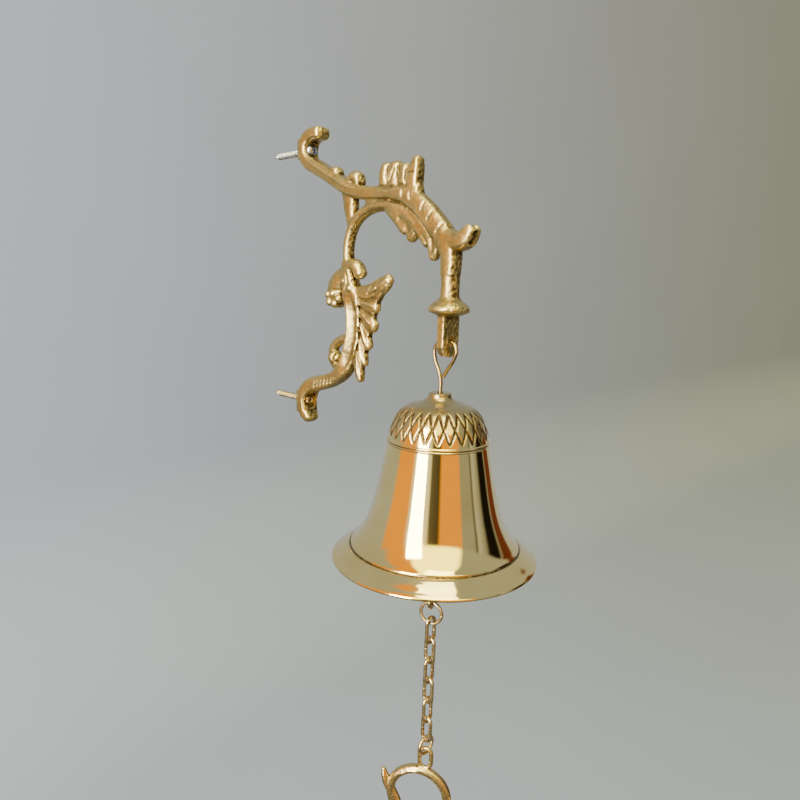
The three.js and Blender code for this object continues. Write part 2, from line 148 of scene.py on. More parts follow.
class Skins:
    """Closed skins in millimetres, gathered into one mesh."""

    def __init__(self):
        self.verts = []
        self.faces = []

    def add(self, rings, closed=False):
        """Quads between equal rings of points, with a fan over each end ring unless they close."""
        base = len(self.verts)
        count, sides = rings.shape[:2]
        self.verts.extend(map(tuple, rings.reshape(-1, 3)))
        for i in range(count if closed else count - 1):
            here = base + i * sides
            there = base + ((i + 1) % count) * sides
            for j in range(sides):
                k = (j + 1) % sides
                self.faces.append((here + j, here + k, there + k, there + j))
        if not closed:
            self.faces.append(tuple(base + j for j in reversed(range(sides))))
            self.faces.append(tuple(base + (count - 1) * sides + j for j in range(sides)))
        return self

    def limb(self, stations, power=2.6, place=bracket_plane, steps=6, sides=24):
        """A limb through (a, b, half width, half thickness) stations in one plane."""
        rows = spline(stations, steps)
        rings = swept(rows[:, :2], rows[:, 2], rows[:, 3], power, sides)
        return self.add(place(rings))

    def lathe(self, profile, out=BELL_OUT, segments=96, closed=True):
        """A body of revolution about a vertical line; a closed profile makes a ring-shaped body."""
        angle = np.linspace(0, 2 * np.pi, segments, endpoint=False)
        rows = np.array(profile, float)
        r, z = rows[:, :1], rows[:, 1:]
        z = np.broadcast_to(z, (len(rows), segments))
        return self.add(np.stack([r * np.cos(angle), -out + r * np.sin(angle), z], 2), closed)

    def ball(self, out, z, radius, x=0.0):
        angle = np.radians(np.linspace(6, 174, 11))
        turn = np.linspace(0, 2 * np.pi, 20, endpoint=False)
        rings = np.stack([
            x + radius * np.sin(angle)[:, None] * np.cos(turn),
            -out + radius * np.sin(angle)[:, None] * np.sin(turn),
            z + radius * np.broadcast_to(np.cos(angle)[:, None], (11, 20)),
        ], 2)
        return self.add(rings)

    def block(self, low, high):
        """A box, given by two corners as (x, out, z)."""
        (x0, o0, z0), (x1, o1, z1) = low, high
        rings = [[(x0, -o, z0), (x1, -o, z0), (x1, -o, z1), (x0, -o, z1)] for o in (o0, o1)]
        return self.add(np.array(rings, float))

    def plate(self, outline, half, place=bracket_plane):
        """A flat plate of the given outline, centred on its plane."""
        base = len(self.verts)
        count = len(outline)
        rings = np.array([[(a, b, off) for a, b in outline] for off in (-half, half)], float)
        self.verts.extend(map(tuple, place(rings).reshape(-1, 3)))
        self.faces.append(tuple(base + i for i in range(count)))
        self.faces.append(tuple(base + count + i for i in reversed(range(count))))
        for i in range(count):
            k = (i + 1) % count
            self.faces.append((base + i, base + count + i, base + count + k, base + k))
        return self

    def build(self, name):
        mesh = bpy.data.meshes.new(name)
        mesh.from_pydata(self.verts, [], self.faces)
        obj = bpy.data.objects.new(name, mesh)
        bpy.context.scene.collection.objects.link(obj)
        outward(obj)
        return obj


# ---------------- mesh work


def outward(obj):
    """Makes every face of a closed mesh point out."""
    bm = bmesh.new()
    bm.from_mesh(obj.data)
    bmesh.ops.recalc_face_normals(bm, faces=bm.faces)
    bm.to_mesh(obj.data)
    bm.free()


def applied(obj):
    """Replaces an object's mesh by the mesh that its modifiers make."""
    graph = bpy.context.evaluated_depsgraph_get()
    mesh = bpy.data.meshes.new_from_object(obj.evaluated_get(graph))
    obj.modifiers.clear()
    old = obj.data
    obj.data = mesh
    bpy.data.meshes.remove(old)


def fused(obj, voxel, smooth=3):
    """Fuses overlapping skins into one surface with softened joins."""
    remesh = obj.modifiers.new("fuse", "REMESH")
    remesh.mode = "VOXEL"
    remesh.voxel_size = voxel
    soft = obj.modifiers.new("soften", "SMOOTH")
    soft.factor = 0.5
    soft.iterations = smooth
    applied(obj)


def cut_by(obj, cutter):
    """Subtracts one closed object from another and removes the cutter."""
    cut = obj.modifiers.new("cut", "BOOLEAN")
    cut.operation = "DIFFERENCE"
    cut.solver = "EXACT"
    cut.object = cutter
    applied(obj)
    if not obj.data.polygons:
        raise RuntimeError(f"the cut left nothing of {obj.name}")
    bpy.data.objects.remove(cutter)


def rows_of(source, field, kind=np.float32, columns=3):
    """One field of every item in a mesh collection, as rows of numbers."""
    values = np.empty(len(source) * columns, kind)
    source.foreach_get(field, values)
    return values.reshape(-1, columns)


def points_of(obj):
    return rows_of(obj.data.vertices, "co").astype(float)


def normals_of(obj):
    return rows_of(obj.data.vertex_normals, "vector").astype(float)


def move_points(obj, co):
    obj.data.vertices.foreach_set("co", co.astype(np.float32).ravel())
    obj.data.update()


def edges_of(obj):
    return rows_of(obj.data.edges, "vertices", np.int32, 2)


def neighbour_mean(values, edges):
    """The mean of each vertex's neighbours."""
    total = np.zeros_like(values)
    count = np.zeros(len(values))
    for a, b in ((0, 1), (1, 0)):
        np.add.at(total, edges[:, a], values[edges[:, b]])
        np.add.at(count, edges[:, a], 1)
    count = np.maximum(count, 1)
    return total / (count if values.ndim == 1 else count[:, None])


def store(obj, name, values):
    """Keeps one number per vertex, which the material reads by name."""
    layer = obj.data.attributes.new(name, "FLOAT", "POINT")
    layer.data.foreach_set("value", values.astype(np.float32))


def store_relief(obj, reach, passes=8):
    """Stores hollow, 0 to 1, high in recesses, which darkens the colour as patina and painted shade, and
    ridge, 0 to 1, high on edges that hands wear bright.
    """
    co, normal, edges = points_of(obj), normals_of(obj), edges_of(obj)
    bend = ((neighbour_mean(co, edges) - co) * normal).sum(1)
    for _ in range(passes):
        bend = 0.5 * bend + 0.5 * neighbour_mean(bend, edges)
    store(obj, "hollow", np.clip(bend / reach, 0, 1))
    store(obj, "ridge", np.clip(-bend / reach, 0, 1))


def store_wear_and_shade(obj, reach, front_oxide_and_shade=None):
    """Stores what cast_brass reads: the relief, and how far each place was left unfiled, a mask that darkens
    the colour as oxide and painted shade.
    """
    store_relief(obj, reach)
    store(obj, "front_oxide_and_shade", np.zeros(len(obj.data.vertices)) if front_oxide_and_shade is None else front_oxide_and_shade)


def roughened(obj, coarse, fine, size=5.0, seed=0.0, front=0.0):
    """Gives a casting the slight unevenness that sand and filing leave, with more on unfiled front faces."""
    co, normal = points_of(obj), normals_of(obj)
    shift = Vector((seed, seed * 0.7, -seed))
    lift = [
        coarse * noise.noise(Vector(p) / size + shift) + fine * noise.noise(Vector(p) * 4.2 / size + shift)
        for p in co
    ]
    lift = np.array(lift)
    if front:
        raw = np.array([noise.noise(Vector(p) * 1.1 + shift) for p in co])
        lift = lift - front * np.clip(-normal[:, 1] * 1.6 - 0.6, 0, 1) * np.clip(raw * 2, -0.3, 1)
    move_points(obj, co + normal * lift[:, None])


def distance_to(line, places):
    """Distance from each 2-D place to a polyline, and how far along the line it lies, 0 to 1."""
    line = np.array(line, float)
    best = np.full(len(places), 1e9)
    along = np.zeros(len(places))
    lengths = np.linalg.norm(np.diff(line, axis=0), axis=1)
    start = np.concatenate([[0], np.cumsum(lengths)])
    for i, length in enumerate(lengths):
        step = line[i + 1] - line[i]
        t = np.clip(((places - line[i]) @ step) / length**2, 0, 1)
        gap = np.linalg.norm(places - line[i] - t[:, None] * step, axis=1)
        near = gap < best
        best[near] = gap[near]
        along[near] = (start[i] + t[near] * length) / start[-1]
    return best, along


def carve(obj, cuts, plane=lambda co: np.column_stack([-co[:, 1], co[:, 2]]), off_axis=0):
    """Presses grooves into both broad faces of a flat casting, or raises ribs where depth is below 0.

    Each cut is (line, half width, depth, sharp): sharp cuts have flat flanks, soft ones are round."""
    co, normal = points_of(obj), normals_of(obj)
    places = plane(co)
    facing = np.clip(np.abs(normal[:, off_axis]) * 1.6, 0, 1)
    push = np.zeros(len(co))
    for line, half, depth, sharp in cuts:
        gap, along = distance_to(line, places)
        near = np.clip(1 - gap / half, 0, 1)
        shape = near if sharp else near**2 * (3 - 2 * near)
        ends = np.clip(np.minimum(along, 1 - along) * 5 + 0.25, 0, 1)
        push = np.where(np.abs(depth * shape * ends) > np.abs(push), depth * shape * ends, push)
    move_points(obj, co - normal * (push * facing)[:, None])


def finished(obj, body, material, replaces, sharp=None):
    """Scales a piece to metres, shades it smooth, gives it its materials, hands it to its body and hides the
    CAD part it replaces.
    """
    obj.data.transform(Matrix.Scale(MM, 4))
    obj.data.materials.clear()
    for one in material if isinstance(material, (list, tuple)) else [material]:
        obj.data.materials.append(one)
    obj.data.polygons.foreach_set("use_smooth", [True] * len(obj.data.polygons))
    if sharp:
        obj.data.set_sharp_from_angle(angle=math.radians(sharp))
    obj.data.update()
    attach(obj, body)
    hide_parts(replaces)


# ---------------- materials


class Nodes:
    """Builds a node tree step by step; each method gives the socket that holds its result."""

    def __init__(self, tree):
        self.tree = tree

    def new(self, kind):
        return self.tree.nodes.new("ShaderNode" + kind)

    def link(self, source, target):
        self.tree.links.new(source, target)

    def set(self, target, value):
        if isinstance(value, bpy.types.NodeSocket):
            self.link(value, target)
        else:
            target.default_value = (*value, 1.0) if isinstance(value, tuple) else value

    def ranged(self, source, low, high, to_low=0.0, to_high=1.0, shape="LINEAR"):
        node = self.new("MapRange")
        node.interpolation_type = shape
        for key, value in zip(("Value", "From Min", "From Max", "To Min", "To Max"),
                              (source, low, high, to_low, to_high)):
            self.set(node.inputs[key], value)
        return node.outputs["Result"]

    def math(self, operation, a, b):
        node = self.new("Math")
        node.operation = operation
        node.use_clamp = operation in ("ADD", "SUBTRACT")
        self.set(node.inputs[0], a)
        self.set(node.inputs[1], b)
        return node.outputs[0]

    def mix(self, factor, a, b):
        node = self.new("Mix")
        node.data_type = "RGBA"
        for key, value in (("Factor", factor), (6, a), (7, b)):
            self.set(node.inputs[key], value)
        return node.outputs[2]


class Paint(Nodes):
    """A metal or plaster material, in the piece's own coordinates."""

    def __init__(self, name):
        self.material = bpy.data.materials.new(name)
        self.material.use_nodes = True
        super().__init__(self.material.node_tree)
        self.shader = self.tree.nodes["Principled BSDF"]
        self.place = self.new("TexCoord").outputs["Object"]

    def noise(self, scale, detail=3.0, stretch=None):
        texture = self.new("TexNoise")
        texture.inputs["Scale"].default_value = scale
        texture.inputs["Detail"].default_value = detail
        place = self.place
        if stretch:
            mapping = self.new("Mapping")
            mapping.inputs["Scale"].default_value = stretch
            self.link(self.place, mapping.inputs["Vector"])
            place = mapping.outputs["Vector"]
        self.link(place, texture.inputs["Vector"])
        return texture.outputs["Fac"]

    def value(self, name):
        attribute = self.new("Attribute")
        attribute.attribute_name = name
        return attribute.outputs["Fac"]

    def bump(self, height, distance, strength=1.0, normal=None):
        node = self.new("Bump")
        node.inputs["Strength"].default_value = strength
        node.inputs["Distance"].default_value = distance
        self.link(height, node.inputs["Height"])
        if normal:
            self.link(normal, node.inputs["Normal"])
        return node.outputs["Normal"]

    def done(self, colour, roughness, normal, metallic=1.0):
        for key, value in zip(("Base Color", "Roughness", "Normal", "Metallic"),
                              (colour, roughness, normal, metallic)):
            self.set(self.shader.inputs[key], value)
        return self.material


def cast_brass(name, pale, gold, brown, rough=0.33):
    """Filed and tumbled brass: bright on worn ridges, brown in recesses as patina and painted shade, and
    brown on unfiled faces as oxide and painted shade.
    """
    paint = Paint(name)
    blotch = paint.noise(140, 4)
    grain = paint.noise(1500, 5)
    pits = paint.noise(520, 3)
    streaks = paint.noise(1.0, 4, stretch=(560, 560, 90))
    colour = paint.mix(paint.ranged(blotch, 0.35, 0.68, 0, 1), pale, gold)
    # Darkening in recesses: patina and painted shade.
    recess = paint.math("MULTIPLY", paint.value("hollow"), paint.ranged(pits, 0.3, 0.7, 0.45, 0.9))
    # Darkening on unfiled faces, which look away from the wall: oxide and painted shade.
    raw = paint.math("MULTIPLY", paint.value("front_oxide_and_shade"), paint.ranged(streaks, 0.32, 0.64, 0.3, 0.92))
    dark = paint.math("ADD", recess, raw)
    dark = paint.math("SUBTRACT", dark, paint.math("MULTIPLY", paint.value("ridge"), 0.5))
    colour = paint.mix(dark, colour, brown)
    bright = tuple(min(1.0, c * 1.35 + 0.02) for c in pale)
    colour = paint.mix(paint.ranged(paint.value("ridge"), 0.2, 1, 0, 0.9), colour, bright)
    roughness = paint.math("ADD", paint.ranged(grain, 0.3, 0.7, rough - 0.07, rough + 0.1),
                           paint.math("MULTIPLY", dark, 0.25))
    normal = paint.bump(pits, 0.00016, 0.5)
    normal = paint.bump(grain, 0.00006, 0.5, normal)
    return paint.done(colour, roughness, normal)


def polished_brass(name, colour, stain, satin):
    """Lathe-turned, buffed brass: near-mirror, with turning lines, faint swirls and dark cut lines.

    Where the attribute satin is high, on the crown, it stays as the lathe left it."""
    paint = Paint(name)
    haze = paint.noise(70, 4)
    turning = paint.noise(1.0, 2, stretch=(30, 30, 9000))
    ripple = paint.noise(38, 2)
    warm = tuple(c * k for c, k in zip(colour, (0.95, 0.88, 0.74)))
    tone = paint.mix(paint.ranged(haze, 0.4, 0.75, 0, 1), colour, warm)
    crown = paint.value("satin")
    tone = paint.mix(crown, tone, satin)
    crumbs = paint.ranged(paint.noise(900, 3), 0.3, 0.7, 0.75, 1.1)
    cut = paint.math("MULTIPLY", paint.value("cut"), crumbs)
    tone = paint.mix(cut, tone, stain)
    roughness = paint.ranged(haze, 0.35, 0.7, 0.04, 0.085)
    for worn, amount in ((cut, 0.35), (crown, 0.2)):
        roughness = paint.math("ADD", roughness, paint.math("MULTIPLY", worn, amount))
    normal = paint.bump(ripple, 0.00022, 0.25)
    normal = paint.bump(turning, 0.000012, 0.3, normal)
    return paint.done(tone, roughness, normal)


def wire_brass(name, colour, stain, rough=0.24):
    """Drawn brass wire with faint draw marks, tarnished where it rubs."""
    paint = Paint(name)
    tarnish = paint.noise(260, 4)
    marks = paint.noise(2600, 3)
    tone = paint.mix(paint.ranged(tarnish, 0.45, 0.75, 0, 0.8), colour, stain)
    roughness = paint.ranged(marks, 0.3, 0.7, rough - 0.05, rough + 0.1)
    return paint.done(tone, roughness, paint.bump(marks, 0.00003, 0.5))


def plated_steel(name, colour, stain):
    """Plated screw steel with small dull spots."""
    paint = Paint(name)
    spots = paint.noise(700, 4)
    tone = paint.mix(paint.ranged(spots, 0.5, 0.75, 0, 0.7), colour, stain)
    roughness = paint.ranged(spots, 0.3, 0.75, 0.22, 0.42)
    return paint.done(tone, roughness, paint.bump(paint.noise(2200, 3), 0.00003, 0.5))


def rough_inside(name, colour, dark):
    """The unpolished inner wall of the bell: turned once, then left to darken."""
    paint = Paint(name)
    rings = paint.noise(1.0, 3, stretch=(60, 60, 2600))
    cloud = paint.noise(90, 4)
    tone = paint.mix(paint.ranged(cloud, 0.35, 0.7, 0, 1), colour, dark)
    return paint.done(tone, paint.ranged(rings, 0.3, 0.7, 0.36, 0.55), paint.bump(rings, 0.00006, 0.6))


# ---------------- bracket

# Limbs of the casting in its plane, each with a section power and (out, z, half width, half thickness).
SCROLL_LIMBS = [
    (3.8, [(12.4, 0.9, 2.5, 3.6), (8.4, 0.9, 2.6, 3.8), (4.8, -0.5, 2.8, 3.9), (3.1, -3.4, 2.8, 4.1),
           (3.1, -6.8, 2.8, 4), (5.2, -9.6, 2.8, 3.7), (10, -12, 2.8, 3.4), (16.4, -15, 2.8, 3.2),
           (23.2, -18.4, 2.8, 3.1), (30.6, -21.8, 2.8, 3), (38, -23.9, 2.6, 2.8), (47, -24.8, 2.6, 2.6)]),
    (3.0, [(30.6, -23.5, 3.6, 2.3), (31.4, -29, 3.2, 2.2), (32, -33, 2.4, 2.1), (32.8, -37.5, 1.7, 2.1)]),
]
BUD_LIMBS = [
    (2.3, [(20, -16.4, 1.5, 2.3), (21.3, -14.8, 1.8, 2.5), (22.9, -14.9, 1.8, 2.5), (23.6, -16.6, 1.3, 2.3)]),
    (2.3, [(31.4, -20, 1.8, 2.6), (32.8, -18.2, 2.2, 2.8), (35.2, -18.2, 2.3, 2.8), (36.3, -20.2, 1.8, 2.5)]),
]
HOOP_LIMBS = [
    (2.0, [(30.6, -51.2, 2.2, 2.5), (30.1, -45, 2.15, 2.4), (32.3, -37.2, 2.15, 2.4), (39.3, -31.2, 2.3, 2.4),
           (50, -29.2, 2.3, 2.5), (60, -31.6, 2.3, 2.5), (68, -37.2, 2.2, 2.3), (73, -43.5, 1.8, 2)]),
    (2.6, [(41.8, -28, 1.3, 2.2), (47, -27.4, 1.6, 2.3), (54, -27.6, 1.6, 2.3)]),
    (2.8, [(54, -30, 3, 2.4), (59.4, -33, 4.4, 2.5), (64, -36.8, 4.8, 2.4), (65.4, -39.6, 3.4, 2.1),
           (64.8, -41.6, 1.9, 1.8)]),
    (2.8, [(74.4, -37, 3.4, 2.5), (76.2, -41.5, 3.3, 2.4), (76.6, -45.4, 2.8, 2.2), (75.9, -48.2, 1.8, 1.9)]),
]
ARM_LIMBS = [
    (3.2, [(45, -24.8, 2.6, 2.6), (54, -24.9, 3, 2.8), (61, -26.1, 3.3, 3), (67, -29.2, 3.8, 3),
           (72.5, -33.5, 4, 3), (77.5, -38, 4.1, 3), (81.6, -42.4, 3.9, 3.2), (84, -47.5, 3.4, 3.3),
           (84, -54, 3.1, 3.2)]),
    (3.0, [(82, -41.8, 3.4, 3.1), (87, -43.2, 3.4, 3.3), (90.8, -41.9, 3.2, 3.4), (93, -39.2, 2.3, 3)]),
]
CLUSTER_LIMBS = [
    (2.6, [(51.2, -24, 2.8, 2.4), (51, -19.4, 2.6, 2.8), (51.6, -15.8, 2.3, 2.5)]),
    (2.6, [(56.2, -24, 3.2, 2.6), (56.2, -19.4, 3.1, 3), (56.6, -16, 2.7, 2.6)]),
    (2.6, [(60.8, -24.5, 3, 2.4), (61, -20, 2.6, 2.5), (61.2, -17, 2.3, 2.2)]),
    (4.0, [(65, -28, 3.6, 2.5), (65.4, -22, 2.9, 2.5), (66.2, -18, 2.5, 2.4), (66.8, -14.6, 1.7, 2)]),
    (2.8, [(67.2, -29, 2.4, 2.4), (67.4, -25, 1.8, 2.3), (67, -22, 1.3, 2)]),
]
CLUSTER_WEB = [(49.2, -25), (49, -18), (51, -15), (56.6, -14.8), (61.4, -15.8), (64, -17.4), (66.4, -22),
               (67.4, -29)]
# The smooth face that joins the hoop to both hanging leaf tips.
LEAF_TIP_WEB = [(52, -28.5), (60, -29.5), (68, -34), (74.4, -40), (76, -45), (73.6, -42), (70.6, -39),
                (67.6, -39), (65, -41), (62.4, -39), (60.4, -35.8), (56, -32)]
LOWER_LIMBS = [
    (4.6, [(30, -50, 2.4, 2.5), (31, -55.5, 3.4, 2.8), (32.8, -61.5, 4, 2.8), (34.6, -67.5, 3.9, 2.8),
           (35.3, -73.5, 3.9, 2.8), (34.8, -79.5, 3.9, 2.9), (33, -85.5, 3.7, 2.9), (30, -91.2, 3.2, 3),
           (25, -95.6, 2.9, 3.1), (18.8, -98.4, 3, 3.2), (12.5, -100.2, 3.2, 3.4), (7.3, -102, 3.1, 3.8),
           (4, -105.2, 2.8, 4.3), (3, -109.5, 2.7, 4.4), (4, -113.6, 2.6, 4), (6.6, -116.4, 2, 3.3)]),
    (2.4, [(31.5, -50.8, 2.4, 2.5), (35.6, -51.4, 2.6, 2.7), (37.8, -54.4, 2.5, 2.5)]),
    (2.4, [(30, -53.5, 3, 2.5), (25.6, -56.6, 4, 2.8), (22.8, -60.4, 4.3, 2.7), (22.6, -63, 3.6, 2.4)]),
    (2.2, [(31, -79.6, 2, 1.9), (25.4, -81.2, 2, 1.9), (21.4, -85.4, 2.2, 2), (22.6, -90.6, 2.1, 1.9),
           (27.2, -92.2, 1.9, 1.9)]),
]
# Small balls set into the casting, as (out, z, radius, x).
PAIRED_KNOBS = [(19.6, -62.6, 1.8, 1.3), (23, -62.2, 1.8, 1.6), (26, -64.2, 1.7, 1.2),
                (20.4, -65.6, 1.9, 1.1), (23.8, -66, 2, 1.2), (29.8, -57, 1.5, 1.8), (34, -59.8, 1.5, 2)]
KNOBS = [(out, z, radius, side * x) for side in (-1, 1) for out, z, radius, x in PAIRED_KNOBS]
KNOBS.append((22.4, -88, 3.2, 0.0))

# The fan leaf: fingers that spread from the knot, one for each scallop of its edge.
FAN_FINGERS = [
    [(34, -62, 3.4, 2), (41, -62.2, 3.7, 1.9), (47, -60, 3.4, 1.9), (51.8, -57.6, 3.1, 1.9),
     (53.8, -56, 2.4, 1.7)],
    [(35, -64, 3.4, 1.7), (41.4, -66, 3.6, 1.8), (45.4, -66.4, 3.2, 1.9), (47.4, -66.4, 2.5, 1.8)],
    [(35.5, -68, 3.4, 1.7), (41, -71.4, 3.6, 1.8), (44.6, -73.4, 3.3, 1.9), (46.2, -74, 2.6, 1.8)],
    [(35.5, -72, 3.3, 1.7), (39.6, -77.4, 3.4, 1.8), (42, -80.6, 3, 1.9), (43, -82, 2.4, 1.8)],
    [(35.4, -77, 3, 1.7), (38.4, -83, 3, 1.8), (40.2, -87, 2.5, 1.9), (40.8, -88.8, 2, 1.7)],
    [(35, -82, 2.8, 1.7), (37.2, -89, 2.7, 1.8), (38.4, -93, 2, 1.8), (39, -95.6, 1.3, 1.6)],
]
FAN_WEB = [(33, -58), (38, -60), (45, -58.8), (51, -56.8), (51.6, -60.6), (48.4, -65), (47, -67.6),
           (46.6, -70.4), (45.6, -74.6), (43.8, -78.4), (42.6, -83), (41, -86.4), (39.8, -91), (38.6, -94.4),
           (36.6, -92), (34, -86), (32, -75)]

# Flat webs that fill between limbs, with half their thickness.
WEBS = [(FAN_WEB, 1.45), (CLUSTER_WEB, 2.0), (LEAF_TIP_WEB, 2.2)]
# Blocks that square off both pads at the wall, by two corners as (x, out, z).
WALL_FEET = [((-3.2, -0.5, -8.4), (3.2, 1.2, -0.4)), ((-3.4, -0.5, -114), (3.4, 1.2, -104.6))]
BRACKET_VOXEL = 0.34

# Grooves and ribs on the broad faces: (line, half width, depth, sharp).
BRACKET_CUTS = [
    # between the hoop and the arm
    ([(44, -27), (54, -27.8), (61.5, -29.4), (67.6, -33), (71.9, -36.6), (74.8, -40), (76, -43)],
     0.75, 0.55, True),
    # veins across the arm
    ([(61.9, -24.6), (62.1, -27.5)], 0.55, 0.45, True), ([(65.7, -26), (66.2, -28.8)], 0.55, 0.45, True),
    ([(72.9, -29.8), (71.5, -32.7)], 0.55, 0.5, True), ([(76.6, -33), (74.7, -35.8)], 0.55, 0.5, True),
    ([(81.6, -37.2), (78.9, -40.2)], 0.55, 0.5, True),
    # foot of the leaf cluster, the dips between its lobes and the leaf hollow on the middle one
    ([(48.6, -22.6), (54.5, -23.8), (60.2, -23), (64, -23.6)], 0.9, 0.45, False),
    ([(54, -14.4), (53.8, -21)], 0.9, 0.7, False), ([(59.2, -15), (59.2, -21)], 0.9, 0.35, False),
    ([(63.2, -16.4), (63.2, -24)], 1.1, 0.55, False), ([(57.6, -17.2), (55.4, -21.4)], 0.8, 0.5, True),
    ([(62.8, -19.4), (67.6, -19.2)], 0.4, 0.35, True),
    # hollows in the two hanging leaf tips
    ([(59.4, -34), (63.8, -37), (65, -40)], 2.6, 0.5, False),
    ([(76.4, -41), (76.7, -44), (76.2, -47)], 1.9, 0.5, False),
    # flutes of the fan leaf: a valley between neighbouring fingers and a rib along each
    ([(38, -63.6), (43, -64.4), (48.6, -63.2)], 0.9, 0.5, False),
    ([(38, -66.6), (43, -69.2), (48, -70.4)], 0.9, 0.55, False),
    ([(38, -70), (42.4, -75), (46, -78.2)], 0.9, 0.55, False),
    ([(38.2, -74.6), (40.8, -80.6), (43.6, -85.6)], 0.9, 0.55, False),
    ([(38, -79.6), (39.4, -86), (41.4, -91.6)], 0.85, 0.55, False),
    ([(44, -61.6), (50, -59), (54.6, -55.6)], 0.7, -0.4, True),
    ([(43.4, -62), (46.6, -58.4)], 0.6, 0.5, True), ([(46.6, -62), (50, -58)], 0.6, 0.5, True),
    ([(40, -65), (47, -66.4)], 0.6, -0.35, True), ([(39.6, -68.8), (45.6, -73.4)], 0.6, -0.35, True),
    ([(39, -73), (43, -81)], 0.6, -0.35, True), ([(38.6, -78), (40.8, -87.8)], 0.6, -0.35, True),
    ([(37.4, -84), (38.8, -94)], 0.6, -0.35, True),
    # groove down the lower stem, beside its ridge
    ([(34.8, -64), (35.5, -69), (35.8, -74), (35.4, -79.5), (34, -85), (31, -91.6)], 3.3, 1.9, True),
    ([(37, -62), (38.7, -68), (39.2, -74), (38.8, -79.5), (37, -85), (34, -90)], 0.9, -0.6, True),
    ([(37.4, -66.2), (39.6, -67.2)], 0.6, 0.6, True), ([(37.6, -74.2), (40, -75.4)], 0.6, 0.6, True),
    # knot, drooping leaf and curl
    ([(30, -58.6), (27.4, -61), (23, -60.6)], 0.7, 0.4, False),
    ([(31.8, -54), (32.6, -58), (31, -61)], 0.8, 0.5, True), ([(34.6, -56.6), (37, -59)], 0.7, 0.5, True),
    ([(25.6, -84.4), (24.4, -88.8), (27, -90)], 1.0, 0.6, False),
    # ridge lines of the upper scroll
    ([(5.6, -8.8), (10, -11.2), (16.4, -14.2), (23.2, -17.6), (30.6, -21), (38, -23)], 0.9, -0.3, True),
]
# Short teeth filed across the lower stem's underside, near the wall.
TOOTH_CUTS = [([(12.6 + 2.1 * i, -101.6 + 0.52 * i), (13.6 + 2.1 * i, -98.6 + 0.52 * i)], 0.45, 0.5, True)
              for i in range(7)]


SHANK_HOLE_R = 1.75
HEAD_HOLE_R = 2.85
DRIVER_HOLE_R = 3.4
TAB_HOLE_R = 1.6
TAB_HALF_THICK = 1.5


def screw_cutters():
    """Clearance for both screws, and the hole in the hanging tab, as one cutter."""
    cutter = Skins()
    for name in SCREWS:
        z, seat = SCREW_Z[name], SCREW_SEAT[name]
        wide, wider = seat - 0.3, seat + 1.1
        steps = [(-2, SHANK_HOLE_R), (wide - 0.01, SHANK_HOLE_R), (wide, HEAD_HOLE_R), (wider, HEAD_HOLE_R),
                 (wider + 0.01, DRIVER_HOLE_R), (16, DRIVER_HOLE_R)]
        radius = np.array([r for _, r in steps])
        path = [(out, z) for out, _ in steps]
        cutter.add(bracket_plane(swept(path, radius, radius, sides=48, bulge=0)))
    path = [(STEM_OUT - 4, TAB_HOLE_Z), (STEM_OUT + 4, TAB_HOLE_Z)]
    rings = swept(path, TAB_HOLE_R, TAB_HOLE_R, sides=40, bulge=0)
    cutter.add(bracket_plane(rings))
    return cutter.build("cutter")


def hanging_end(skins):
    """Stem, collar and tab at the outer end of the casting."""
    collar = [(0.05, -52), (3.3, -52), (3.2, -58), (3.35, COLLAR_Z + 3.6), (4.1, COLLAR_Z + 2.6),
              (5.8, COLLAR_Z + 1.5), (7, COLLAR_Z + 0.3), (7.4, COLLAR_Z - 0.7), (7.1, COLLAR_Z - 1.6),
              (5.6, COLLAR_Z - 2.3), (4.2, COLLAR_Z - 2.8), (0.05, COLLAR_Z - 2.8)]
    skins.lathe(collar[::-1], STEM_OUT, 48, closed=False)
    left = [(-4.2, COLLAR_Z - 2), (-4.2, -78.6), (-3.6, -80.4), (-2.2, -81.7)]
    tab = left + [(0, -82)] + [(-x, z) for x, z in left[::-1]]

    def across_bracket(rings):
        return np.stack([rings[..., 0], -STEM_OUT + rings[..., 2], rings[..., 1]], -1)

    skins.plate(tab, TAB_HALF_THICK, across_bracket)


# The scoop in the top of the flicked-up tip; its line is (out, x).
TIP_HOLLOW = ([(87, -0.6), (93, -0.2), (96, 0)], 2.2, 1.3, False)
TIP_BASE_Z = -44.5


def tip_top(co):
    """Places on top of the flicked-up tip as (out, x); everything lower is put out of reach."""
    return np.column_stack([np.where(co[:, 2] > TIP_BASE_Z, -co[:, 1], 1e3), co[:, 0]])


def bracket(material):
    skins = Skins()
    for family in (SCROLL_LIMBS, BUD_LIMBS, HOOP_LIMBS, ARM_LIMBS, CLUSTER_LIMBS, LOWER_LIMBS):
        for power, stations in family:
            skins.limb(stations, power)
    for finger in FAN_FINGERS:
        skins.limb(finger, 2.4)
    for out, z, radius, x in KNOBS:
        skins.ball(out, z, radius, x)
    for low, high in WALL_FEET:
        skins.block(low, high)
    for outline, half in WEBS:
        skins.plate(outline, half)
    hanging_end(skins)
    obj = skins.build("bracket_casting")
    fused(obj, BRACKET_VOXEL, smooth=3)
    carve(obj, BRACKET_CUTS + TOOTH_CUTS)
    roughened(obj, 0.16, 0.07, size=6.5, seed=3.0, front=0.22)
    carve(obj, [TIP_HOLLOW], plane=tip_top, off_axis=2)
    cut_by(obj, screw_cutters())
    co = points_of(obj)
    co[:, 1] = np.minimum(co[:, 1], 0)  # the pads lie flat on the wall
    move_points(obj, co)
    # The unfiled mask darkens faces that look away from the wall, as oxide and painted shade; the tab keeps
    # less of it.
    tab = np.clip((COLLAR_Z + 3 - co[:, 2]) / 3, 0, 1) * (co[:, 1] < -70)
    store_wear_and_shade(obj, 0.02, np.clip(-normals_of(obj)[:, 1] * 1.9 - 0.6, 0, 1) * (1 - 0.75 * tab))
    finished(obj, "bracket", material, "bracket", sharp=50)


# ---------------- bell

